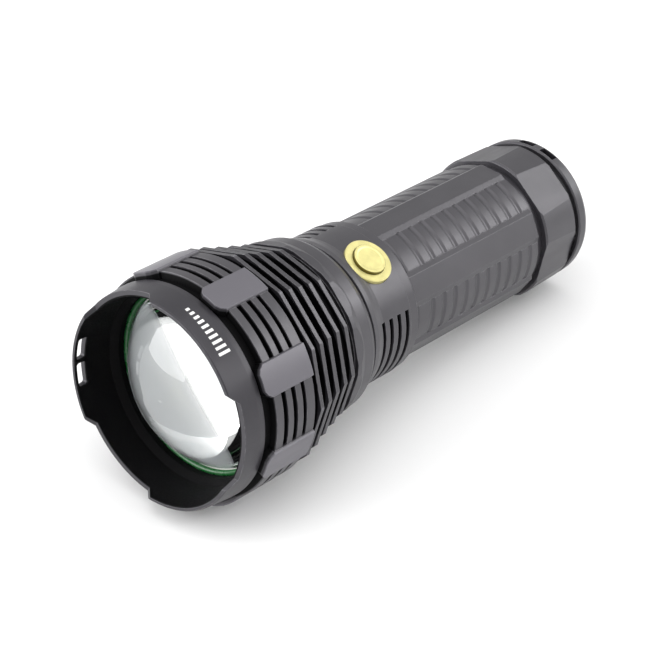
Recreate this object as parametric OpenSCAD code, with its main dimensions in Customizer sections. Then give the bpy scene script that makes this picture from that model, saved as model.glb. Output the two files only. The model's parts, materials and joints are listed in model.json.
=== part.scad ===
// Zoom-focus tactical flashlight, lying along -Y with its beam, millimetres.
// The origin is the centre of the tail cap's end face. Turned pieces are drawn
// upright, with z counted from the tail face, and lay() puts them on their side.
// Angles round the axis are counted so that 90 is up and 0 is +X once laid down.

/* [Overall] */
// Height from the tail face to the top of the hood's high arcs
total_len = 198.6; // [198:0.2:200]
// Radius of the hood where it meets the head
hood_r = 37.7; // [37.4:0.1:38]
// Radius over the anti-roll pads
pad_r = 40.1; // [39.8:0.1:40.6]
// Radius of the battery tube over its rails
grip_r = 26.1; // [25.9:0.1:26.4]

/* [Hood] */
// Depth of the three low arcs of the rim
arc_depth = 3.5; // [2:0.1:4]
// Width of each lanyard slot in the hood
hood_slot_w = 3.6; // [3:0.1:3.8]

/* [Head] */
// Number of anti-roll pads
pads = 8; // [6:1:9]
// Width of an anti-roll pad across its flat top
pad_w = 9.6; // [8:0.2:10.4]
// Corners of the polygonal cooling fins
fin_corners = 12; // [10:2:12]
// Travel of the focusing head
focus_travel = 14; // [10:0.5:15]
// Radius of the lens flange
lens_r = 33; // [32.6:0.1:33.2]

/* [Switch] */
// Radius of the gold bezel ring
ring_r = 8.5; // [8.2:0.05:8.6]
// Radius of the button cap
button_r = 5.75; // [5.4:0.05:5.8]
// Distance from the tail face to the button's centre
button_z = 111.8; // [111.4:0.1:111.9]

/* [Power] */
// Radius of one cylindrical cell
cell_r = 9.2; // [9:0.05:9.25]
// Length of one cell without its nipple
cell_len = 64.4; // [64:0.1:65]
// Thread lead of the tail cap
tail_lead = 1.5; // [1:0.25:2]

/* [Hidden] */
$fn = 96;
run = 0.05;            // radial clearance of a running or threaded fit

// Stations along the axis, from the tail face
z_tail_front = 26;     // front edge of the tail cap
z_grip_rear = 29.2;    // rear edge of the grip
z_grip_front = 99.3;   // grip meets the switch housing
z_seam = 125.4;        // switch housing meets the focusing head
z_fins_front = 164.9;  // fin collar meets the head shell
z_hood_rear = 186.7;   // head shell meets the hood
z_lens_seat = 175;     // ledge under the lens
z_tube_rear = 120.7;   // rear end of the focus tube, inside the switch housing
z_tube_front = 158;    // front edge of the focus tube
z_driver = 102.8;      // rear face of the driver board

// Radii inside the light
bore_r = 23.5;         // battery bay
neck_r = 24.5;         // tail thread
focus_tube_r = 26.9;   // tube that the head slides on
housing_r = 27.9;      // switch housing
band_r = 27.5;         // plain band of the housing that a clip ring seats on
board_r = 24.85;       // driver board

// Tilt of the switch, 60 being 30 degrees off the top towards +X
switch_a = 60;

// Ribbed panels of the grip: middle of the first, half their width in degrees, and their face
panel_a = -3.8;
panel_half = 16.2;
panel_r = grip_r - 0.8;
cell_ring_r = cell_r * sqrt(2) + 0.15;
z_cells = 24;          // rear end of the cells
z_cells_front = z_cells + cell_len;
slot_gap = 1.3;        // bar left between two lanyard slots

// ---- helpers -------------------------------------------------------------

// Lays an upright, turned piece on its side, beam along -Y
module lay() {
    rotate([90, 0, 0]) children();
}

// Full ring of rectangular section
module ring(r_in, r_out, z0, z1) {
    rotate_extrude() translate([r_in, z0]) square([r_out - r_in, z1 - z0]);
}

// Ring of round section, such as an O-ring
module torus(r_mid, wire_r, z) {
    translate([0, 0, z]) rotate_extrude() translate([r_mid, 0]) circle(wire_r, $fn = 32);
}

module disc(r, z0, z1) {
    translate([0, 0, z0]) cylinder(r = r, h = z1 - z0);
}

// Places a child that is drawn round +Z so that it points out at angle a from height z
module radial(a, z) {
    rotate(a) translate([0, 0, z]) rotate([0, 90, 0]) children();
}

// Wedge of half angle half, centred on angle a, for cutting sectors
module sector(a, half, z0, z1, r = 50) {
    reach = r / cos(half);
    rotate(a) translate([0, 0, z0]) linear_extrude(z1 - z0)
        polygon([[0, 0], [reach * cos(half), -reach * sin(half)], [reach * cos(half), reach * sin(half)]]);
}

// Points of one round section of a coil at turn angle a
function coil_ring(r, z, a, wire_r, sides) = [
    for (k = [0 : sides - 1])
        let (b = 360 * k / sides, q = r + wire_r * cos(b))
        [q * cos(a), q * sin(a), z + wire_r * sin(b)]
];

// Helical spring from radius r0 at z0 to radius r1 at z1
module coil(r0, r1, z0, z1, turns, wire_r, steps = 20, sides = 6) {
    n = turns * steps;
    points = [
        for (i = [0 : n])
            let (t = i / n)
            each coil_ring(r0 + (r1 - r0) * t, z0 + (z1 - z0) * t, 360 * turns * t, wire_r, sides)
    ];
    walls = [
        for (i = [0 : n - 1], k = [0 : sides - 1])
            let (m = (k + 1) % sides, a = i * sides, b = a + sides)
            each [[a + k, b + k, b + m], [a + k, b + m, a + m]]
    ];
    first = [for (k = [0 : sides - 1]) k];
    last = [for (k = [sides - 1 : -1 : 0]) n * sides + k];
    polyhedron(points, concat([first], walls, [last]));
}

// ---- focusing head -------------------------------------------------------

// Wedge-sided block that mills one low arc into the rim
module low_arc_cut() {
    low = 14;
    high = 17.3;
    top = arc_depth + 2;
    translate([20, 0, total_len - arc_depth]) rotate([90, 0, 90]) linear_extrude(30)
        polygon([[-low, 0], [low, 0], [high, arc_depth], [high, top], [-high, top], [-high, arc_depth]]);
}

// One lanyard slot with rounded corners, cut through the rim's wall beside the bar
module hood_slot(side) {
    corner = 1;
    length = 8.3;
    z = 195.9;
    near = side * (slot_gap / 2 + corner);
    far = side * (slot_gap / 2 + length - corner);
    low = z - hood_slot_w / 2 + corner;
    high = z + hood_slot_w / 2 - corner;
    for (y = [near, far], h = [low, high])
        translate([30, y, h]) rotate([0, 90, 0]) cylinder(r = corner, h = 10, $fn = 32);
    translate([30, min(near, far), low - corner]) cube([10, abs(far - near), high - low + 2 * corner]);
    translate([30, min(near, far) - corner, low]) cube([10, abs(far - near) + 2 * corner, high - low]);
}

module hood_bezel() {
    color("dimgray") lay() difference() {
        rotate_extrude() polygon([
            [32.6, 179.4], [34.9, 179.4], [34.9, z_hood_rear], [hood_r - 0.2, z_hood_rear],
            [hood_r, z_hood_rear + 0.3], [hood_r, 189], [36.8, total_len - 0.5], [36.4, total_len],
            [35.5, total_len], [35.2, total_len - 0.4], [34.3, 184], [32.6, 181.4]
        ]);
        for (a = [0 : 120 : 240])
            rotate(a) low_arc_cut();
        rotate(180) for (side = [-1, 1])
            hood_slot(side);
    }
}

// Anti-roll pad: bevelled sides, cut front corners, top on the pad circle
module pad_block() {
    half = pad_w / 2;
    bevel = 0.9;
    front = z_hood_rear - 0.3;
    intersection() {
        translate([0, 0, z_fins_front + 0.3]) linear_extrude(front - z_fins_front - 0.3)
            polygon([
                [35.5, -half - bevel], [38.9, -half - bevel], [pad_r + 1, -half], [pad_r + 1, half],
                [38.9, half + bevel], [35.5, half + bevel]
            ]);
        translate([30, 0, 0]) rotate([90, 0, 90]) linear_extrude(14)
            polygon([
                [-7, 160], [7, 160], [7, front - 3.4], [half + 0.5, front - 2.4], [half - 0.5, front - 0.9],
                [half - 2.1, front], [2.1 - half, front], [0.5 - half, front - 0.9],
                [-half - 0.5, front - 2.4], [-7, front - 3.4]
            ]);
        disc(pad_r, z_fins_front, z_hood_rear);
    }
}

module head_shell() {
    land = 39.3;
    root = 37.4;
    color("dimgray") lay() union() {
        rotate_extrude() polygon([
            [32.05, z_fins_front], [land - 0.6, z_fins_front], [land, 165.5], [land, 169.2], [root, 169.2],
            [root, 169.8], [land, 170.9], [land, 173.4], [root, 173.4], [root, 174.2], [land, 175.4],
            [land, 177.8], [root, 177.8], [root, 178.7], [land, 179.9], [land - 0.1, 182.9], [36.6, 183.3],
            [36.6, z_hood_rear - 0.3], [34.95, z_hood_rear - 0.3], [34.95, z_lens_seat - 1],
            [29.5, z_lens_seat - 1], [29.5, 171], [32.05, 171]
        ]);
        for (i = [0 : pads - 1])
            rotate(27 + i * 360 / pads) difference() {
                pad_block();
                disc(35.2, 160, 190);
            }
    }
}

// Polygonal cooling fin
module fin(r, z, thick) {
    translate([0, 0, z - thick / 2]) cylinder(r = r, h = thick, $fn = fin_corners);
}

// Front end of the collar, with flats in line with the fins that fade out to the rear
module faceted_front() {
    intersection() {
        rotate_extrude() polygon([[20, 132], [31.55, 132], [32.4, 134.5], [32.4, 136.3], [20, 136.3]]);
        fin(32.9, 134, 6);
    }
}

module fin_collar() {
    color("dimgray") lay() difference() {
        union() {
            rotate_extrude() polygon([
                [20, z_seam], [29.9, z_seam], [30.3, z_seam + 0.3], [31.3, 127.6], [31.6, 132], [31.6, 133],
                [30.8, 133], [30.8, 148.8], [32.6, 149.8], [32.6, z_fins_front], [32, z_fins_front],
                [32, 170.9], [20, 170.9]
            ]);
            faceted_front();
            fin(33.3, 139.8, 1.5);
            fin(34.8, 145.3, 1.5);
            fin(36.4, 151, 1.6);
            fin(38.3, 156.8, 1.5);
            fin(39.7, 162.1, 1.4);
        }
        disc(focus_tube_r + run, z_seam - 1, 172);
        disc(28.6, 139, 172);
    }
}

// Convex focusing lens with a flat flange
module lens() {
    flange_top = 177.3;
    dome_r = 31;
    ball_r = 36;
    color("lightcyan") lay() union() {
        disc(lens_r, z_lens_seat, flange_top);
        intersection() {
            translate([0, 0, flange_top - sqrt(ball_r * ball_r - dome_r * dome_r)]) sphere(ball_r);
            disc(dome_r, flange_top - 0.5, 196);
        }
    }
}

module lens_gasket() {
    color("seagreen") lay() torus(31.95, 1.0, 178.35);
}

module lens_seat_ring() {
    color("black") lay() ring(30.2, 34.8, z_lens_seat - 0.95, z_lens_seat);
}

// ---- focus tube and light engine ------------------------------------------

module focus_tube() {
    color("silver") lay() difference() {
        disc(focus_tube_r, z_tube_rear, z_tube_front);
        disc(24.4, 118, 149);
        disc(25.2, 149, 160);
        for (z = [129.2, 133.8])
            ring(25.9, 30, z - 0.7, z + 0.7);
        ring(26.1, 30, 153.3, 154.8);
    }
}

module focus_o_ring_front() {
    color("black") lay() torus(26.42, 0.5, 133.8);
}

module focus_o_ring_rear() {
    color("black") lay() torus(26.42, 0.5, 129.2);
}

module stop_ring() {
    color("gray") lay() difference() {
        ring(26.1, 28.2, 153.35, 154.75);
        translate([0, -30, 155]) cube([6, 8, 10], center = true);
        translate([0, -27, 154]) cube([5, 6, 3], center = true);
    }
}

module led_pill() {
    color("peru") lay() difference() {
        union() {
            disc(24.35, 144, 149);
            disc(25.15, 149, 154);
        }
        for (x = [-9.8, 9.8])
            translate([x, 0, 143]) cylinder(r = 1.2, h = 20, $fn = 32);
        for (y = [-9, 9])
            translate([0, y, 150]) cylinder(r = 1.0, h = 10, $fn = 32);
    }
}

module led_board() {
    color("white") lay() difference() {
        disc(12.5, 154, 155.6);
        for (x = [-9.8, 9.8])
            translate([x, 0, 150]) cylinder(r = 1.2, h = 10, $fn = 32);
        for (y = [-9, 9])
            translate([0, y, 150]) cylinder(r = 1.15, h = 10, $fn = 32);
    }
}

module led_emitter() {
    side = 7;
    color("gold") lay() union() {
        translate([-side / 2, -side / 2, 155.6]) cube([side, side, 0.9]);
        intersection() {
            translate([0, 0, 156.1]) sphere(3.1);
            disc(4, 156, 160);
        }
    }
}

module led_holder() {
    color("white") lay() difference() {
        disc(7.2, 155.6, 157.2);
        translate([-3.65, -3.65, 155]) cube([7.3, 7.3, 4]);
    }
}

// Two pan-head screws that hold the LED board to its pill
module led_screws() {
    color("silver") lay() for (y = [-9, 9])
        translate([0, y, 0]) union() {
            translate([0, 0, 150.4]) cylinder(r = 0.95, h = 5.4, $fn = 32);
            translate([0, 0, 155.6]) cylinder(r = 1.7, h = 1.1, $fn = 32);
        }
}

// Straight insulated lead from the driver board to the LED board
module lead(x) {
    translate([x, 0, z_driver + 1.6]) cylinder(r = 0.75, h = 154.4 - z_driver, $fn = 32);
}

module lead_positive() {
    color("red") lay() lead(9.8);
}

module lead_negative() {
    color("black") lay() lead(-9.8);
}

// ---- switch housing and button ----------------------------------------------

module switch_housing() {
    color("dimgray") lay() difference() {
        rotate_extrude() polygon([
            [25.05, z_grip_front], [27.1, z_grip_front], [band_r, 99.8], [band_r, 103.4],
            [housing_r, 103.7], [housing_r, 117.5], [28.3, 119.2], [29.1, 121.8], [29.4, 123.8],
            [28.9, 124.1], [28, 124.1], [28, z_seam - 0.3], [focus_tube_r + run, z_seam - 0.3],
            [focus_tube_r + run, z_tube_rear], [24, z_tube_rear], [24, z_driver + 1.6], [25.05, z_driver + 1.6]
        ]);
        // Cooling grooves on both flanks, leaving the switch side smooth
        intersection() {
            union() for (z = [105.6, 109.7, 113.8, 117.8])
                ring(25.4, 33, z - 0.95, z + 0.95);
            union() {
                for (a = [switch_a - 90, switch_a + 90])
                    sector(a, 47, 100, 120);
            }
        }
        // Seat for the gasket and bezel ring, and the bore for the button
        radial(switch_a, button_z) {
            translate([0, 0, 25.2]) cylinder(r = ring_r + run, h = 6);
            translate([0, 0, 20]) cylinder(r = 6.9, h = 8);
        }
    }
}

module switch_ring() {
    color("khaki") lay() radial(switch_a, button_z)
        rotate_extrude() polygon([
            [button_r + 0.1, 26], [ring_r, 26], [ring_r, 28], [ring_r - 0.3, 28.3], [button_r + 0.2, 28.3],
            [button_r + 0.1, 28.2]
        ]);
}

module switch_gasket() {
    color("black") lay() radial(switch_a, button_z) ring(6.9, ring_r, 25.2, 26);
}

module button_cap() {
    color("khaki") lay() radial(switch_a, button_z)
        rotate_extrude() polygon([
            [0, 21.9], [1.6, 21.9], [1.6, 24.7], [6.5, 24.7], [6.5, 25.7], [button_r, 25.7],
            [button_r, 29.3], [button_r - 0.25, 29.5], [4.9, 29.5], [4.3, 29.35], [0, 29.35]
        ]);
}

module tact_plunger() {
    color("ivory") lay() radial(switch_a, button_z) translate([0, 0, 19.2]) cylinder(r = 1.7, h = 2.7);
}

module tact_switch() {
    side = 6;
    color("black") lay() radial(switch_a, button_z) difference() {
        translate([-side / 2, -side / 2, 16.8]) cube([side, side, 3.4]);
        translate([0, 0, 18]) cylinder(r = 1.75, h = 5);
    }
}

module switch_board() {
    color("darkgreen") lay() radial(switch_a, button_z) difference() {
        translate([-5.5, -9, 15.4]) cube([11, 18, 1.4]);
        for (y = [-7, 7])
            translate([0, y, 14]) cylinder(r = 1.1, h = 4, $fn = 32);
    }
}

// Plastic bridge across the housing that carries the switch board
module switch_saddle() {
    color("dimgray") lay() difference() {
        intersection() {
            disc(23.95, 104.8, 119);
            rotate(switch_a) translate([11, -30, 100]) cube([4.4, 60, 30]);
        }
        radial(switch_a, button_z) for (y = [-7, 7])
            translate([0, y, 12]) cylinder(r = 0.95, h = 8, $fn = 32);
    }
}

module saddle_screws() {
    color("silver") lay() radial(switch_a, button_z) for (y = [-7, 7])
        translate([0, y, 0]) union() {
            translate([0, 0, 12.2]) cylinder(r = 0.9, h = 4.7, $fn = 32);
            translate([0, 0, 16.8]) cylinder(r = 1.6, h = 1, $fn = 32);
        }
}

// ---- driver -------------------------------------------------------------------

module driver_board() {
    color("darkgreen") lay() disc(board_r, z_driver, z_driver + 1.6);
}

module driver_inductor() {
    top = z_driver + 1.6;
    color("dimgray") lay() rotate(switch_a + 180) translate([11, 0, 0]) difference() {
        disc(5.5, top, top + 5.6);
        ring(4.6, 6, top + 1.4, top + 4.2);
    }
}

// Controller, two power transistors and two capacitors on the driver board
module driver_chips() {
    top = z_driver + 1.6;
    color("black") lay() rotate(switch_a + 180) {
        translate([0, 9, top]) cube([5, 4, 1.2]);
        for (y = [-15, -9.4])
            translate([-3, y, top]) cube([6.5, 4.6, 1.6]);
        for (y = [10, 15.2])
            translate([-10, y - 5, top]) cube([3.2, 2.5, 1.4]);
    }
}

module driver_contact() {
    color("gold") lay() disc(4.2, z_driver - 1, z_driver);
}

module driver_spring() {
    color("silver") lay() coil(3.6, 2.2, 94.9, z_driver - 1.4, 5, 0.4);
}

// ---- battery tube ---------------------------------------------------------------

// Flats along the six raised rails of the grip, with bevels down to the panels
module rail_flats() {
    top = grip_r - 0.45;
    top_half = 4.5;
    foot_r = panel_r - 0.1;
    foot_a = 30.8 - panel_half;
    translate([0, 0, z_grip_rear - 1]) for (a = [30 : 60 : 330])
        rotate(panel_a + a) linear_extrude(z_grip_front - z_grip_rear + 2) {
            translate([top, -6]) square([3, 12]);
            for (side = [-1, 1])
                polygon([
                    [top, side * top_half], [foot_r * cos(foot_a), side * foot_r * sin(foot_a)],
                    [30 * cos(foot_a), side * 30 * sin(foot_a)], [30, side * top_half]
                ]);
        }
}

// Sectors that hold the six ribbed panels
module panel_sectors(z0, z1) {
    union() for (a = [0 : 60 : 300])
        sector(panel_a + a, panel_half, z0, z1);
}

// Wide shallow groove between two ribs of a panel
module rib_groove(z) {
    half = 1.35;
    rotate_extrude() polygon([
        [panel_r - 0.4, z - 0.3], [panel_r, z - half], [30, z - half],
        [30, z + half], [panel_r, z + half], [panel_r - 0.4, z + 0.3]
    ]);
}

// Sloping recess behind the panel's front wall
module panel_nose() {
    front = z_grip_front - 0.3;
    rotate_extrude() polygon([[panel_r - 0.8, front], [panel_r, 96.2], [30, 96.2], [30, front]]);
}

module battery_tube() {
    rib_pitch = 6.1;
    color("dimgray") lay() difference() {
        union() {
            disc(grip_r, z_grip_rear, z_grip_front);
            disc(25, z_grip_front - 1, z_driver);
            disc(neck_r, 10, z_grip_rear + 1);
        }
        disc(bore_r, 9, z_driver + 1);
        ring(23.95, 27, 23.2, 24);
        ring(24.1, 27, 100.4, 101.6);
        rail_flats();
        intersection() {
            panel_sectors(z_grip_rear - 1, z_grip_front);
            union() {
                ring(panel_r, 30, z_grip_rear - 1, z_grip_front - 0.3);
                for (k = [0 : 9])
                    rib_groove(88.9 - k * rib_pitch);
                panel_nose();
            }
        }
    }
}

module tube_o_ring() {
    color("black") lay() torus(24.57, 0.45, 101);
}

module tail_o_ring() {
    color("black") lay() torus(24.255, 0.3, 23.6);
}

// ---- battery carrier -------------------------------------------------------------

// One lithium cell with its raised positive end
module cell(i) {
    a = 45 + i * 90;
    color("royalblue") lay() translate([cell_ring_r * cos(a), cell_ring_r * sin(a), 0]) union() {
        disc(cell_r, z_cells, z_cells_front);
        disc(3, z_cells_front - 0.5, z_cells_front + 1.2);
    }
}

// Springs under the four cells
module cell_springs() {
    color("silver") lay() for (a = [45 : 90 : 315])
        translate([cell_ring_r * cos(a), cell_ring_r * sin(a), 0])
            coil(4.2, 3, 20.4, 23.6, 3, 0.35, 16);
}

module carrier_disc(z0, z1) {
    difference() {
        disc(23.1, z0, z1);
        for (a = [0 : 90 : 270])
            rotate(a) translate([21, 0, z0 - 1]) cylinder(r = 1.3, h = z1 - z0 + 2, $fn = 32);
    }
}

module carrier_front() {
    color("black") lay() difference() {
        carrier_disc(89.6, 92.6);
        disc(2.05, 89, 94);
    }
}

module carrier_rear() {
    color("black") lay() carrier_disc(17, 20);
}

// Four rods that join the carrier's end discs
module carrier_rods() {
    color("silver") lay() for (a = [0 : 90 : 270])
        rotate(a) translate([21, 0, 17]) cylinder(r = 1.25, h = 75.6, $fn = 32);
}

module carrier_stud() {
    color("gold") lay() union() {
        disc(2, 89.6, 92.6);
        disc(4, 92.6, 94.3);
    }
}

module carrier_contact() {
    color("gold") lay() ring(8, 16, 16.2, 17);
}

// ---- tail -----------------------------------------------------------------------

module contact_plate() {
    color("gold") lay() disc(22.8, 5.4, 7);
}

module tail_spring() {
    color("silver") lay() coil(9, 12, 7.6, 15.4, 4, 0.55, 24);
}

module contact_retainer() {
    color("gray") lay() ring(21.2, 23.95, 7.4, 8.4);
}

// Slot through the end ring for a wrist strap
module strap_slot(a) {
    rotate(a) translate([20, -3.2, 1.3]) cube([10, 6.4, 3.4]);
}

// Six wide flats round the cap, with the turned body left between them
module cap_flats() {
    flat_d = 25.75;
    for (a = [49.5 : 60 : 349.5])
        rotate(a) translate([flat_d, -14, 8])
            cube([5, 28, z_tail_front]);
}

module tail_cap() {
    color("dimgray") lay() difference() {
        union() {
            difference() {
                rotate_extrude() polygon([
                    [0, 8], [26.5, 8], [26.9, 8.8], [27.2, 25.4], [26.6, z_tail_front], [0, z_tail_front]
                ]);
                cap_flats();
            }
            rotate_extrude() polygon([
                [0, 0], [25.3, 0], [26.1, 0.8], [26.6, 2], [26.7, 5], [26.2, 5.5],
                [25.3, 5.5], [25.3, 8.1], [0, 8.1]
            ]);
        }
        disc(neck_r + 0.06, 9.4, 30);
        disc(23.2, 5.1, 9.5);
        ring(22, 24, 7.35, 8.45);
        for (a = [93.5, 73])
            strap_slot(a);
        ring(16.5, 18.5, -1, 0.6);
    }
}

// ---- placement ---------------------------------------------------------------------

hood_bezel();
head_shell();
fin_collar();
lens();
lens_gasket();
lens_seat_ring();
focus_tube();
focus_o_ring_front();
focus_o_ring_rear();
stop_ring();
led_pill();
led_board();
led_emitter();
led_holder();
led_screws();
lead_positive();
lead_negative();
switch_housing();
switch_ring();
switch_gasket();
button_cap();
tact_plunger();
tact_switch();
switch_board();
switch_saddle();
saddle_screws();
driver_board();
driver_inductor();
driver_chips();
driver_contact();
driver_spring();
battery_tube();
tube_o_ring();
tail_o_ring();
cell(0);  // cell_1
cell(1);  // cell_2
cell(2);  // cell_3
cell(3);  // cell_4
cell_springs();
carrier_front();
carrier_rear();
carrier_rods();
carrier_stud();
carrier_contact();
contact_plate();
tail_spring();
contact_retainer();
tail_cap();
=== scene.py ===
"""Looks of the zoom-focus flashlight: materials, printed scale, floor, lights and camera."""

import json
from math import atan, cos, radians, sin

import bpy
from mathutils import Matrix, Vector


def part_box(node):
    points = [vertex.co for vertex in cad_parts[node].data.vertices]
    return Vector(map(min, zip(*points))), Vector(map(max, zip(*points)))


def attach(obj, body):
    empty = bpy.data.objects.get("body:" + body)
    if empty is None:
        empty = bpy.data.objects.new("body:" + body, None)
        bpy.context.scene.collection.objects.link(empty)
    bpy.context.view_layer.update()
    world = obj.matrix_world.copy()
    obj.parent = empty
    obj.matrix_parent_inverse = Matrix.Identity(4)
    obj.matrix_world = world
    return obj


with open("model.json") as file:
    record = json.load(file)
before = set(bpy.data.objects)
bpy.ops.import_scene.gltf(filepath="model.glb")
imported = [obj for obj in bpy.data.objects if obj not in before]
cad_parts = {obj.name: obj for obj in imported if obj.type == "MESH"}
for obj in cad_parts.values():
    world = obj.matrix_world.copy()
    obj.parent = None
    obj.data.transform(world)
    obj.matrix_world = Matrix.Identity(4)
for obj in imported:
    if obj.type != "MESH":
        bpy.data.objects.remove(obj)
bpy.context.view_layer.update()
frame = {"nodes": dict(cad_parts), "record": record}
MM = 0.001

# The light's axis is the frame's Y. Its tail ends at y = 0 and its hood points along -Y.

# Angles round the axis, in degrees from the top towards the camera's side
PRINT_ANGLE = 28.5
BUTTON_ANGLE = 30.0

# Radii from the axis under which a part's inward faces are its bore or its throat
BORES = {"head_shell": 34.0 * MM, "fin_collar": 32.02 * MM}
HOOD_THROAT = 35.45 * MM

# Radii between which the head's pads get a painted sheen
PAD_SHEEN_FROM = 39.5 * MM
PAD_SHEEN_FULL = 39.7 * MM

# Grooves where shade is painted in near-black: radius they lie under in mm, its growth per mm forward,
# and where along the light they start and end, in mm from the tail
SHADED_GROOVES = {
    "head_shell": (38.8, 0.0, 164.0, 187.0),
    "fin_collar": (31.0, 0.27, 136.5, 165.0),
    "switch_housing": (27.1, 0.0, 99.0, 119.5),
    "battery_tube": (25.15, 0.0, 97.0, 99.2),
    "tail_cap": (25.5, 0.0, 5.4, 8.2),
}

# Hood's outer wall, which tapers forward from TAPER_START by TAPER_DROP on the radius
TAPER_START = -189.0 * MM
TAPER_DROP = 0.94 * MM

# Scale printed on the hood: bars that grow longer round it, BAR_PITCH degrees apart
BAR_COUNT = 10
BAR_PITCH = 3.1
BAR_WIDTH = 1.0 * MM
BAR_SHORTEST = 1.4 * MM
BAR_GROWTH = 0.34 * MM
PRINT_PLACE = -192.9 * MM
PRINT_RADIUS = 37.3 * MM
PRINT_LIFT = 0.03 * MM

# Painted shade on the wall between the button and its ring: radii from the button's centre
WALL_INSIDE = 5.62 * MM
WALL_OUTSIDE = 5.83 * MM

# Floor: parts that may touch it, the stretches of the light where its two feet lie, and its size and gap
RESTING_PARTS = ("hood_bezel", "head_shell", "fin_collar", "switch_housing", "tail_cap")
TAIL_END = -50.0 * MM
HEAD_START = -150.0 * MM
FLOOR_SIZE = 40.0
FLOOR_GAP = 0.1 * MM

# Tones, linear
ANODISED = (0.019, 0.018, 0.0215)
ANODISED_LIGHT = (0.028, 0.0265, 0.031)
# Near-black painted shade for groove floors and the hood's throat
ANODISED_PAINTED_SHADE = (0.0014, 0.0013, 0.0017)
# Painted sheen on the head's pads
PAD_PAINTED_SHEEN = (0.088, 0.084, 0.097)
# Lighter edges: partly wear, partly painted highlight
EDGE_WEAR_AND_HIGHLIGHT = (0.21, 0.205, 0.22)
LILAC = (0.97, 0.95, 1.0)
PRINT_WHITE = (0.78, 0.78, 0.76)
GOLD = (0.80, 0.73, 0.31)
# Painted shade on the wall round the button
GOLD_PAINTED_SHADE = (0.13, 0.105, 0.02)
BRASS = (0.80, 0.58, 0.26)
STEEL = (0.58, 0.58, 0.60)
ALUMINIUM = (0.74, 0.75, 0.77)
GREEN_SEAL = (0.007, 0.085, 0.018)
RUBBER_BLACK = (0.018, 0.018, 0.019)
NYLON_BLACK = (0.026, 0.026, 0.028)
NYLON_WHITE = (0.80, 0.80, 0.77)
MASK_GREEN = (0.015, 0.16, 0.055)
MASK_WHITE = (0.84, 0.84, 0.81)
EPOXY = (0.022, 0.022, 0.024)
FERRITE = (0.09, 0.09, 0.095)
WIRE_RED = (0.50, 0.02, 0.015)
WRAP_BLUE = (0.03, 0.13, 0.42)
PHOSPHOR = (0.90, 0.68, 0.12)
LENS_TINT = (0.97, 0.99, 0.98)
FLOOR_WHITE = (0.86, 0.86, 0.86)

# Sockets of the Mix node when it blends colours, and rays per point of the Bevel node
MIX_AMOUNT = 0
MIX_A = 6
MIX_B = 7
MIX_COLOUR = 2
BEVEL_SAMPLES = 6


# ---- shader building ---------------------------------------------------------

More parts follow.
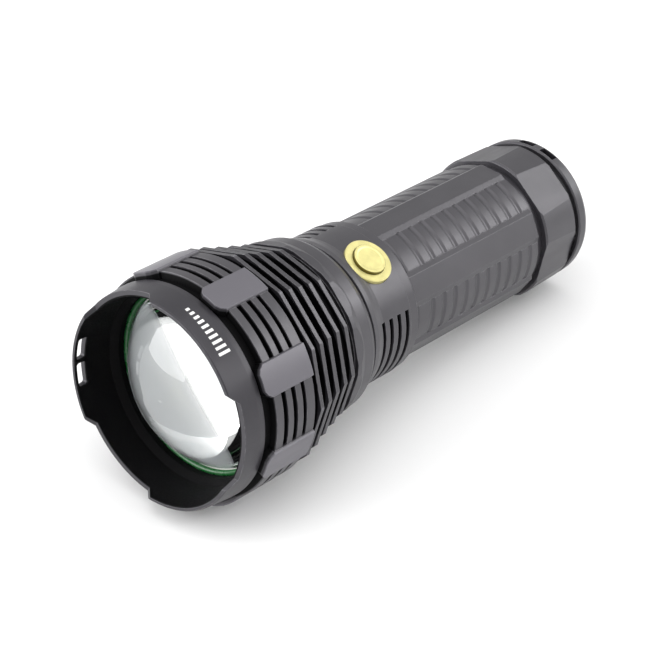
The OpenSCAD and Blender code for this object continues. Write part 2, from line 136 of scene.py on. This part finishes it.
class Shader:
    """A material's node tree, with short calls that add and join nodes."""

    def __init__(self, name):
        self.material = bpy.data.materials.new(name)
        self.material.use_nodes = True
        self.tree = self.material.node_tree
        self.tree.nodes.clear()
        self.output = self.add("ShaderNodeOutputMaterial")
        coordinates = self.add("ShaderNodeTexCoord")
        self.place = coordinates.outputs["Object"]
        self.own_normal = coordinates.outputs["Normal"]

    def add(self, kind, sockets=None, **settings):
        node = self.tree.nodes.new(kind)
        for key, value in settings.items():
            setattr(node, key, value)
        for key, value in (sockets or {}).items():
            self.put(node, key, value)
        return node

    def put(self, node, key, value):
        """Joins a node's output to a socket, or sets the socket to a value."""
        socket = node.inputs[key]
        if isinstance(value, bpy.types.NodeSocket):
            self.tree.links.new(value, socket)
        elif isinstance(value, tuple) and len(value) == 3 and socket.type == "RGBA":
            socket.default_value = (*value, 1.0)
        else:
            socket.default_value = value

    def maths(self, operation, a, b=0.0, c=0.0):
        return self.add("ShaderNodeMath", {0: a, 1: b, 2: c}, operation=operation).outputs[0]

    def vector_maths(self, operation, a, b=(0.0, 0.0, 0.0)):
        return self.add("ShaderNodeVectorMath", {0: a, 1: b}, operation=operation).outputs

    def hypotenuse(self, a, b):
        """Length of the vector whose two parts are a and b."""
        squares = [self.maths("MULTIPLY", side, side) for side in (a, b)]
        return self.maths("SQRT", self.maths("ADD", *squares))

    def remap(self, value, low, high, to_low=0.0, to_high=1.0):
        sockets = {0: value, 1: low, 2: high, 3: to_low, 4: to_high}
        return self.add("ShaderNodeMapRange", sockets).outputs[0]

    def blend(self, amount, a, b):
        """Colour a where amount is 0 and colour b where it is 1."""
        sockets = {MIX_AMOUNT: amount, MIX_A: a, MIX_B: b}
        return self.add("ShaderNodeMix", sockets, data_type="RGBA").outputs[MIX_COLOUR]

    def noise(self, scale, detail=3.0, rough=0.5, stretch=None):
        """Noise from 0 to 1 whose features are about 1/scale metres across."""
        place = self.place
        if stretch:
            place = self.add("ShaderNodeMapping", {"Vector": place, "Scale": stretch}).outputs[0]
        sockets = {"Vector": place, "Scale": scale, "Detail": detail, "Roughness": rough}
        return self.add("ShaderNodeTexNoise", sockets).outputs[0]

    def widened(self, noise, low=0.0, high=1.0):
        """Noise whose middle values are stretched to run from low to high."""
        return self.remap(noise, 0.3, 0.7, low, high)

    def lines(self, position, pitch, detail):
        """Noise that changes only with position, in lines about pitch metres apart."""
        sockets = {"W": self.maths("DIVIDE", position, pitch), "Scale": 1.0, "Detail": detail}
        return self.add("ShaderNodeTexNoise", sockets, noise_dimensions="1D").outputs[0]

    def cells(self, scale, distance):
        """Distance from the middle of cells about 1/scale metres across."""
        sockets = {"Vector": self.place, "Scale": scale}
        return self.add("ShaderNodeTexVoronoi", sockets, distance=distance).outputs[0]

    def axis_parts(self):
        """Radius from the light's axis and place along it, both in metres."""
        x, y, z = self.add("ShaderNodeSeparateXYZ", {0: self.place}).outputs
        return self.hypotenuse(x, z), y

    def turning_marks(self):
        """Height of fine lathe lines that run round the light's axis."""
        _, along = self.axis_parts()
        return self.lines(along, 0.22 * MM, 3.0)

    def inner_wall(self, limit, lean):
        """1 on faces under limit from the axis that look towards it by lean or more, else 0."""
        radius, _ = self.axis_parts()
        across = self.vector_maths("MULTIPLY", self.place, (1.0, 0.0, 1.0))[0]
        outward = self.vector_maths("NORMALIZE", across)[0]
        facing = self.vector_maths("DOT_PRODUCT", outward, self.own_normal)["Value"]
        turned_in = self.remap(facing, 0.1 - lean, -lean)
        return self.maths("MULTIPLY", turned_in, self.remap(radius, limit + 0.05 * MM, limit))

    def groove(self, node):
        """1 in the node's grooves, where shade is painted, else 0."""
        limit, growth, rear, front = SHADED_GROOVES[node]
        length = front - rear
        radius, along = self.axis_parts()
        forward = self.maths("SUBTRACT", self.maths("MULTIPLY", along, -1.0), rear * MM)
        edge = self.maths("MULTIPLY_ADD", forward, growth, limit * MM)
        under = self.remap(self.maths("SUBTRACT", edge, radius), -0.15 * MM, 0.3 * MM)
        past_rear = self.remap(forward, 0.0, 0.1 * MM)
        before_front = self.remap(forward, length * MM, (length - 0.1) * MM)
        return self.maths("MULTIPLY", under, self.maths("MULTIPLY", past_rear, before_front))

    def rounded(self, width):
        """Normal that rounds corners off within width metres."""
        return self.add("ShaderNodeBevel", {"Radius": width}, samples=BEVEL_SAMPLES).outputs[0]

    def edges(self, width):
        """1 on corners sharper than their surroundings, within width metres, else 0."""
        flat = self.add("ShaderNodeNewGeometry").outputs["Normal"]
        same = self.vector_maths("DOT_PRODUCT", self.rounded(width), flat)["Value"]
        return self.remap(same, 0.985, 0.86)

    def bump(self, height, depth, normal=None):
        """Normal of a surface raised by height (0 to 1) times depth metres."""
        sockets = {"Height": height, "Distance": depth, "Strength": 1.0}
        if normal:
            sockets["Normal"] = normal
        return self.add("ShaderNodeBump", sockets).outputs[0]

    def surface(self, colour, rough, normal=None, **extra):
        sockets = {"Base Color": colour, "Roughness": rough, **extra}
        if normal:
            sockets["Normal"] = normal
        return self.add("ShaderNodeBsdfPrincipled", sockets).outputs[0]

    def mixed(self, amount, first, second):
        """Surface first where amount is 0 and second where it is 1."""
        return self.add("ShaderNodeMixShader", {0: amount, 1: first, 2: second}).outputs[0]

    def close(self, surface):
        self.put(self.output, "Surface", surface)
        return self.material

    def finish(self, colour, rough, normal=None, **extra):
        return self.close(self.surface(colour, rough, normal, **extra))


def toned(tone, factor, offset=0.0):
    """Tone times factor plus offset, no channel over 1."""
    return tuple(min(1.0, channel * factor + offset) for channel in tone)


# ---- anodised black parts -----------------------------------------------------

def anodised_surface(s, lathe=0.25, painted_sheen=None, shine=0.85):
    """Satin black anodising: blasted grain over faint lathe lines and soft clouds, with edges lightened
    partly by wear and partly as painted highlights, and an optional painted sheen.
    """
    clouds = s.noise(38.0, 5.0, 0.6)
    grain = s.noise(5200.0, 2.0)
    smears = s.noise(150.0, 4.0, 0.6, stretch=(1.0, 0.25, 1.0))
    colour = s.blend(s.remap(clouds, 0.35, 0.68), ANODISED, ANODISED_LIGHT)
    # Painted sheen: lighter colour on the pads
    if painted_sheen:
        colour = s.blend(painted_sheen, colour, PAD_PAINTED_SHEEN)
    # Edges lightened in patches: partly wear, partly painted highlight
    edge_wear_and_highlight = s.maths("MULTIPLY", s.edges(0.4 * MM), s.remap(s.noise(420.0, 5.0, 0.7), 0.38, 0.6))
    colour = s.blend(s.maths("MULTIPLY", edge_wear_and_highlight, 0.8), colour, EDGE_WEAR_AND_HIGHLIGHT)
    gloss = s.remap(smears, 0.3, 0.72, 0.34, 0.44)
    height = s.maths("ADD", grain, s.maths("MULTIPLY", s.turning_marks(), lathe))
    normal = s.bump(height, 0.012 * MM, s.rounded(0.3 * MM))
    return s.surface(colour, gloss, normal, **{"Specular IOR Level": shine, "Specular Tint": LILAC})


def painted_shade_black(s):
    """Near-black, barely reflecting surface: painted shade at the foot of a groove and in the hood's
    throat.
    """
    fine = s.noise(1500.0, 4.0)
    normal = s.bump(fine, 0.01 * MM)
    return s.surface(ANODISED_PAINTED_SHADE, s.widened(fine, 0.55, 0.7), normal, **{"Specular IOR Level": 0.09})


def anodised(name):
    """Plain anodised part, without grooves or pads."""
    s = Shader(name)
    return s.close(anodised_surface(s))


def grooved(name):
    """Anodised part with painted shade in its grooves."""
    s = Shader(name)
    return s.close(s.mixed(s.groove(name), anodised_surface(s), painted_shade_black(s)))


def hood_finish(name):
    """Anodised outside, with near-black painted shade inside the throat."""
    s = Shader(name)
    outside = anodised_surface(s, 0.6, shine=0.48)
    # Inward faces of the throat get painted shade
    return s.close(s.mixed(s.inner_wall(HOOD_THROAT, -0.25), outside, painted_shade_black(s)))


def bright_bore(name):
    """Grooved part with painted shade in its grooves, a painted sheen on its pads, and bare bright metal
    in the bore round the light engine.
    """
    s = Shader(name)
    radius, _ = s.axis_parts()
    # Painted sheen on the outermost pads
    pads = s.remap(radius, PAD_SHEEN_FROM, PAD_SHEEN_FULL)
    outside = s.mixed(s.groove(name), anodised_surface(s, painted_sheen=pads), painted_shade_black(s))
    gloss = s.widened(s.noise(900.0), 0.3, 0.45)
    bare = s.surface(ALUMINIUM, gloss, s.bump(s.turning_marks(), 0.02 * MM), Metallic=0.3)
    return s.close(s.mixed(s.inner_wall(BORES[name], 0.5), outside, bare))


# ---- metals -------------------------------------------------------------------

def turned_metal(name, tone, rough=0.28, marks=0.02 * MM):
    """Bare or plated metal with lathe lines, patchy gloss and painted highlights on its corners."""
    s = Shader(name)
    patches = s.widened(s.noise(240.0, 5.0, 0.6))
    colour = s.blend(patches, toned(tone, 0.78), tone)
    # Corners lightened as a painted highlight
    colour = s.blend(s.maths("MULTIPLY", s.edges(0.2 * MM), 0.6), colour, toned(tone, 1.12))
    gloss = s.widened(s.noise(900.0), rough - 0.06, rough + 0.09)
    normal = s.bump(s.turning_marks(), marks, s.rounded(0.12 * MM))
    return s.finish(colour, gloss, normal, Metallic=1.0)


def button_radius(s):
    """Distance from the button's own axis, which leans off the top by the button's angle."""
    low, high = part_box("button_cap")
    centre = Vector((0.0, (low.y + high.y) / 2, 0.0))
    sockets = {"Vector": s.place, "Location": tuple(-centre)}
    moved = s.add("ShaderNodeMapping", sockets, vector_type="POINT").outputs[0]
    sockets = {"Vector": moved, "Angle": radians(-BUTTON_ANGLE)}
    upright = s.add("ShaderNodeVectorRotate", sockets, rotation_type="Y_AXIS").outputs[0]
    x, y, _ = s.add("ShaderNodeSeparateXYZ", {0: upright}).outputs
    return s.hypotenuse(x, y)


def faced_metal(name, tone, rough=0.3):
    """Satin metal face with fine rings round the button's centre and painted shade on the wall round the
    button.
    """
    s = Shader(name)
    radius = button_radius(s)
    colour = s.blend(s.widened(s.noise(420.0, 2.0)), toned(tone, 0.86), tone)
    past_cap = s.remap(radius, WALL_INSIDE, WALL_INSIDE + 0.08 * MM)
    before_ring = s.remap(radius, WALL_OUTSIDE, WALL_OUTSIDE - 0.03 * MM)
    # Painted shade on the wall between the cap and its ring
    colour = s.blend(s.maths("MULTIPLY", past_cap, before_ring), colour, GOLD_PAINTED_SHADE)
    gloss = s.widened(s.noise(300.0, 2.0), rough, rough + 0.1)
    normal = s.bump(s.lines(radius, 0.3 * MM, 0.0), 0.003 * MM)
    return s.finish(colour, gloss, normal, Metallic=0.55)


# ---- plastics, rubber, boards and glass -----------------------------------------

def moulded(name, tone, rough=0.5, grain=1800.0, depth=0.02 * MM):
    """Moulded plastic or cast resin with a fine spark-eroded grain."""
    s = Shader(name)
    colour = s.blend(s.widened(s.noise(120.0, 4.0)), tone, toned(tone, 1.2))
    fine = s.noise(grain)
    gloss = s.widened(fine, rough - 0.07, rough + 0.08)
    return s.finish(colour, gloss, s.bump(fine, depth, s.rounded(0.15 * MM)))


def rubber(name, tone, rough=0.55):
    """Rubber of an O-ring, a seal or a wire's sleeve: satin, dusty in patches."""
    s = Shader(name)
    dust = s.remap(s.noise(700.0, 5.0, 0.7), 0.5, 0.75)
    colour = s.blend(dust, tone, toned(tone, 0.8, 0.03))
    gloss = s.widened(s.noise(350.0), rough - 0.1, rough + 0.1)
    return s.finish(colour, gloss, s.bump(s.noise(3200.0, 2.0), 0.01 * MM))


def board(name, tone):
    """Solder mask with faint copper tracks under it."""
    s = Shader(name)
    tracks = s.remap(s.cells(420.0, "MANHATTAN"), 0.42, 0.46)
    colour = s.blend(tracks, tone, toned(tone, 1.5, 0.01))
    gloss = s.widened(s.noise(900.0), 0.22, 0.34)
    return s.finish(colour, gloss, s.bump(tracks, 0.03 * MM))


def cell_wrap(name):
    """Shrink wrap: glossy film with faint creases and a paler insulating end."""
    s = Shader(name)
    _, along = s.axis_parts()
    low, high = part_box("cell_1")
    end = s.remap(along, low.y + 2.2 * MM, low.y + 1.8 * MM)
    film = s.blend(s.widened(s.noise(90.0, 4.0)), WRAP_BLUE, toned(WRAP_BLUE, 1.3))
    colour = s.blend(end, film, ALUMINIUM)
    creases = s.noise(300.0, 4.0, 0.6, stretch=(1.0, 0.15, 1.0))
    return s.finish(colour, s.widened(creases, 0.16, 0.3), s.bump(creases, 0.04 * MM))


def phosphor(name):
    """Emitter: yellow phosphor cells under clear silicone."""
    s = Shader(name)
    grid = s.cells(700.0, "CHEBYCHEV")
    colour = s.blend(s.remap(grid, 0.45, 0.5), PHOSPHOR, toned(PHOSPHOR, 0.6))
    gloss = s.widened(s.noise(900.0), 0.12, 0.22)
    return s.finish(colour, gloss, s.bump(grid, 0.01 * MM), **{"Coat Weight": 0.6})


def lens_glass(name):
    """Clear moulded lens with a faint ripple, fine dust and a hint of green in the mass."""
    s = Shader(name)
    dust = s.remap(s.noise(2600.0, 4.0, 0.7), 0.74, 0.84)
    ripple = s.bump(s.noise(26.0, 2.0), 0.05 * MM)
    extra = {"Transmission Weight": 1.0, "IOR": 1.49}
    glass = s.surface(LENS_TINT, s.maths("MULTIPLY", dust, 0.08), ripple, **extra)
    clear = s.add("ShaderNodeBsdfTransparent").outputs[0]
    shadow = s.add("ShaderNodeLightPath").outputs["Is Shadow Ray"]
    return s.close(s.mixed(shadow, glass, clear))


def dress_nodes():
    """Gives every CAD node the material of its slot, and grooved nodes one of their own with painted
    shade in the grooves.
    """
    by_slot = {
        "anodised_black": anodised("anodised_black"),
        "hood_black": hood_finish("hood_black"),
        "bare_aluminium": turned_metal("bare_aluminium", ALUMINIUM, 0.26),
        "lens_glass": lens_glass("lens_glass"),
        "green_seal": rubber("green_seal", GREEN_SEAL, 0.3),
        "black_rubber": rubber("black_rubber", RUBBER_BLACK),
        "black_plastic": moulded("black_plastic", NYLON_BLACK),
        "white_plastic": moulded("white_plastic", NYLON_WHITE, 0.42, 1200.0, 0.003 * MM),
        "gold_anodised": faced_metal("gold_anodised", GOLD),
        "brass_contact": turned_metal("brass_contact", BRASS, 0.24),
        "spring_steel": turned_metal("spring_steel", STEEL, 0.2, 0.006 * MM),
        "steel": turned_metal("steel", STEEL, 0.32),
        "circuit_board": board("circuit_board", MASK_GREEN),
        "white_board": board("white_board", MASK_WHITE),
        "emitter": phosphor("emitter"),
        "chip": moulded("chip", EPOXY, 0.45, 2600.0, 0.01 * MM),
        "ferrite": moulded("ferrite", FERRITE, 0.6, 2200.0),
        "red_wire": rubber("red_wire", WIRE_RED, 0.4),
        "cell_wrap": cell_wrap("cell_wrap"),
    }
    for row in frame["record"]["subparts"]:
        mesh = frame["nodes"][row["node"]].data
        mesh.materials.clear()
        mesh.materials.append(by_slot[row["material_slot"]])
    for node in SHADED_GROOVES:
        material = bright_bore(node) if node in BORES else grooved(node)
        frame["nodes"][node].data.materials[0] = material


# ---- printed scale on the hood ---------------------------------------------------

def hood_point(angle, along):
    """Point just off the hood's tapered wall, at an angle from the top and a place along the light."""
    low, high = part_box("hood_bezel")
    share = (along - TAPER_START) / (low.y - TAPER_START)
    radius = high.x - TAPER_DROP * share + PRINT_LIFT
    return Vector((radius * sin(angle), along, radius * cos(angle)))


def printed_bar(name, material, angle, length):
    """Thin raised print that wraps the hood, with its length along the light."""
    steps = 6
    half = BAR_WIDTH / 2 / PRINT_RADIUS
    points = []
    faces = []
    for i in range(steps + 1):
        around = angle - half + 2 * half * i / steps
        points.append(hood_point(around, PRINT_PLACE - length / 2))
        points.append(hood_point(around, PRINT_PLACE + length / 2))
        if i:
            corner = 2 * i
            faces.append((corner - 2, corner - 1, corner + 1, corner))
    mesh = bpy.data.meshes.new(name)
    mesh.from_pydata(points, [], faces)
    mesh.materials.append(material)
    bar = bpy.data.objects.new(name, mesh)
    bpy.context.scene.collection.objects.link(bar)
    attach(bar, "focus_head")


def print_scale():
    """A plain focusing scale: bars that grow longer round the hood."""
    ink = moulded("white_print", PRINT_WHITE, 0.5, 2600.0, 0.004 * MM)
    for i in range(BAR_COUNT):
        angle = radians(PRINT_ANGLE) + (i - (BAR_COUNT - 1) / 2) * radians(BAR_PITCH)
        printed_bar(f"print_bar_{i}", ink, angle, BAR_SHORTEST + BAR_GROWTH * i)


# ---- stage -------------------------------------------------------------------------

def resting_line():
    """Slope and a point (y, z) of the plane that the light lies on, touching head and tail."""
    corners = []
    for name in RESTING_PARTS:
        node = frame["nodes"][name]
        corners += [node.matrix_world @ vertex.co for vertex in node.data.vertices]
    tail = [p for p in corners if p.y > TAIL_END]
    head = [p for p in corners if p.y < HEAD_START]
    foot = min(tail, key=lambda p: p.z)
    # The tilt moves the lowest point of the tail, so slope and foot are found by turns
    for _ in range(4):
        slope = max((foot.z - p.z) / (foot.y - p.y) for p in head)
        foot = min(tail, key=lambda p: p.z - slope * p.y)
    return slope, foot.y, foot.z


def lay_floor():
    """Pale floor under the light, tilted as the light rests on its head and its tail."""
    slope, foot_y, foot_z = resting_line()
    bpy.ops.mesh.primitive_plane_add(size=FLOOR_SIZE)
    floor = bpy.context.object
    floor.name = "floor"
    floor.rotation_euler = (atan(slope), 0, 0)
    floor.location = (0, foot_y, foot_z - FLOOR_GAP)
    s = Shader("floor_white")
    tone = s.blend(s.widened(s.noise(3.0)), FLOOR_WHITE, toned(FLOOR_WHITE, 1.03))
    floor.data.materials.append(s.finish(tone, s.widened(s.noise(200.0), 0.75, 0.85)))


def softbox(name, place, size, power, spread=180.0):
    """Rectangular light on the object; a spread under 180 degrees is a grid that narrows its beam."""
    middle = Vector((0.0, -0.1, 0.0))
    light = bpy.data.lights.new(name, "AREA")
    light.shape = "RECTANGLE"
    light.size, light.size_y = size
    light.energy = power
    light.spread = radians(spread)
    lamp = bpy.data.objects.new(name, light)
    bpy.context.scene.collection.objects.link(lamp)
    lamp.location = place
    lamp.rotation_euler = (middle - Vector(place)).to_track_quat("-Z", "Y").to_euler()


def light_studio():
    """White surroundings, a large light overhead, one before the lens and a gridded one behind."""
    world = bpy.data.worlds.new("studio")
    bpy.context.scene.world = world
    world.use_nodes = True
    background = world.node_tree.nodes["Background"]
    background.inputs["Color"].default_value = (1.0, 1.0, 1.0, 1.0)
    background.inputs["Strength"].default_value = 0.76
    softbox("key", place=(0.3, -0.3, 1.5), size=(2.2, 2.2), power=16.0)
    softbox("front", place=(-0.85, -1.25, 0.4), size=(1.5, 1.1), power=24.0)
    softbox("back", place=(0.82, 0.9, 0.68), size=(1.5, 0.6), power=2.0, spread=70.0)


def set_camera():
    """Long-lens camera at the front right, above the light, rolled a little."""
    azimuth = radians(39.8)
    elevation = radians(30.0)
    roll = radians(3.0)
    distance = 0.767
    target = Vector((0.0003, -0.116, -0.0043))
    out = Vector((sin(azimuth) * cos(elevation), -cos(azimuth) * cos(elevation), sin(elevation)))
    data = bpy.data.cameras.new("camera")
    data.lens = 125.0
    data.sensor_width = 36.0
    data.clip_start = 0.01
    camera = bpy.data.objects.new("camera", data)
    bpy.context.scene.collection.objects.link(camera)
    place = Matrix.Translation(target + out * distance)
    turn = out.to_track_quat("Z", "Y").to_matrix().to_4x4()
    camera.matrix_world = place @ turn @ Matrix.Rotation(roll, 4, "Z")
    bpy.context.scene.camera = camera
    bpy.context.scene.view_settings.view_transform = "Standard"


dress_nodes()
print_scale()
lay_floor()
light_studio()
set_camera()
